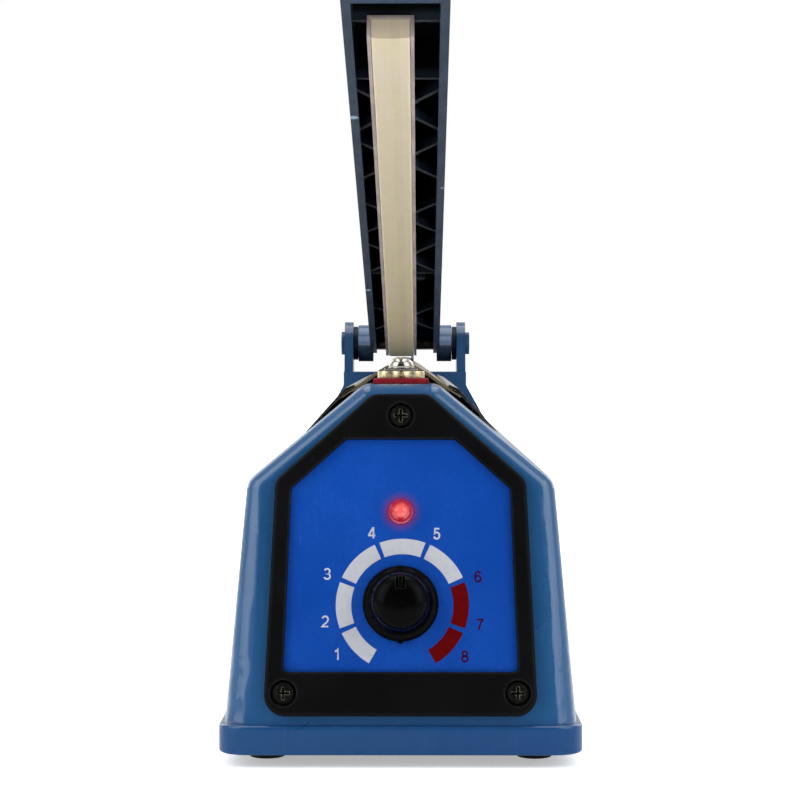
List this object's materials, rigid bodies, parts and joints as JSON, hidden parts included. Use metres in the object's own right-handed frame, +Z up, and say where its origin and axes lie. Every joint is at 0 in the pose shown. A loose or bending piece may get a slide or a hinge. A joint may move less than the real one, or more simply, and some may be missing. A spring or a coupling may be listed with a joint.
{
  "type": "impulse heat sealer",
  "caption": "Bench heat sealer: painted cast base with a front timer panel and a long hinged arm that presses a rubber strip onto a heated bed.",
  "frame": {"origin": "on the ground under the middle of the base casting (feet bottoms, halfway between front and rear flange edges)", "axes": "+Z up, +Y to the rear (hinge end), +X to the right seen from the front panel"},
  "size_m": [0.1064, 0.5643, 0.205],
  "materials": {
    "blue_paint": "gloss paint",
    "black_plastic": "fine matt grain",
    "blue_label": "satin printed sheet",
    "red_lens": "red tinted lens",
    "bright_steel": "bright plated",
    "zinc_steel": "zinc plated",
    "black_rubber": "matt",
    "black_steel": "black oxide",
    "gloss_black": "polished",
    "plain_aluminium": "mill finish",
    "glass_tape": "woven glass tape",
    "nichrome": "drawn ribbon",
    "brown_cloth": "coated glass cloth",
    "red_fibre": "vulcanised fibre",
    "brass": "plain",
    "red_plastic": "moulded",
    "core_iron": "varnished laminations",
    "coil_tape": "tape",
    "board_green": "solder mask",
    "relay_blue": "moulded",
    "capacitor_sleeve": "sleeve",
    "block_green": "moulded",
    "cord_rubber": "satin",
    "beige_silicone": "satin",
    "red_wire": "insulation",
    "white_wire": "insulation"
  },
  "bodies": {
    "root": {"anvil_bar": "plain_aluminium", "arm_return_spring": "zinc_steel", "base_plate": "zinc_steel", "base_screws": "zinc_steel", "bezel_screws": "black_steel", "board_capacitors": "capacitor_sleeve", "board_screws": "zinc_steel", "board_standoffs": "brass", "body_shell": "blue_paint", "clamp_screws": "bright_steel", "control_leads": "white_wire", "element_leads": "red_wire", "front_bezel": "black_plastic", "front_insulator": "red_fibre", "front_terminal": "brass", "heating_element": "nichrome", "hinge_bolt": "zinc_steel", "hinge_nut": "zinc_steel", "hinge_washers": "zinc_steel", "insulating_tape": "glass_tape", "mains_plug": "black_plastic", "micro_switch": "black_plastic", "panel_label": "blue_label", "pilot_lamp_holder": "black_plastic", "pilot_lamp_lens": "red_lens", "pot_nut": "zinc_steel", "potentiometer": "zinc_steel", "power_cord": "cord_rubber", "ptfe_cloth": "brown_cloth", "rear_insulator": "red_fibre", "rear_terminal": "brass", "rod_bush": "brass", "rod_spring": "bright_steel", "rubber_feet": "black_rubber", "side_clamp_left": "plain_aluminium", "side_clamp_right": "plain_aluminium", "strain_relief": "black_plastic", "switch_bracket": "zinc_steel", "switch_screws": "zinc_steel", "terminal_block": "block_green", "terminal_nuts": "zinc_steel", "terminal_screws": "bright_steel", "terminal_washers": "bright_steel", "timer_board": "board_green", "timer_relay": "relay_blue", "transformer_coil": "coil_tape", "transformer_core": "core_iron", "transformer_screws": "zinc_steel", "transformer_strap": "zinc_steel", "triac_and_heat_sink": "plain_aluminium"},
    "arm": {"arm_casting": "blue_paint", "strip_holder": "plain_aluminium", "silicone_strip": "beige_silicone", "holder_screws": "zinc_steel"},
    "knob": {"timer_knob": "gloss_black", "pot_shaft": "bright_steel"},
    "rod": {"switch_rod": "bright_steel", "rod_clip": "bright_steel"},
    "lever": {"switch_lever": "bright_steel"},
    "button": {"switch_button": "red_plastic"}
  },
  "joints": [
    {"name": "arm_hinge", "type": "hinge", "parent": "root", "child": "arm", "pos_m": [0, 0.185, 0.1014], "axis": [1, 0, 0], "range_deg": [-10, 13.6], "stiffness_Nm_per_rad": 0.6},
    {"name": "knob_turn", "type": "hinge", "parent": "root", "child": "knob", "pos_m": [0, -0.19454, 0.03815], "axis": [0, -0.9877, 0.1564], "range_deg": [-150, 150]},
    {"name": "rod_slide", "type": "slide", "parent": "root", "child": "rod", "axis": [0, 0, -1], "range_m": [-0.0012, 0.0016], "deforming": ["rod_spring"]},
    {"name": "lever_turn", "type": "hinge", "parent": "root", "child": "lever", "pos_m": [0, 0.1422, 0.05095], "axis": [-1, 0, 0], "range_deg": [-3.4, 4.6]},
    {"name": "button_press", "type": "slide", "parent": "root", "child": "button", "axis": [0, 0, -1], "range_m": [-0.0005, 0.00065]}
  ],
  "couplings": [
    {"joint": "rod_slide", "follows": "arm_hinge", "m_per_rad": 0.0067},
    {"joint": "lever_turn", "follows": "arm_hinge", "ratio": 0.333},
    {"joint": "button_press", "follows": "arm_hinge", "m_per_rad": 0.0026}
  ]
}
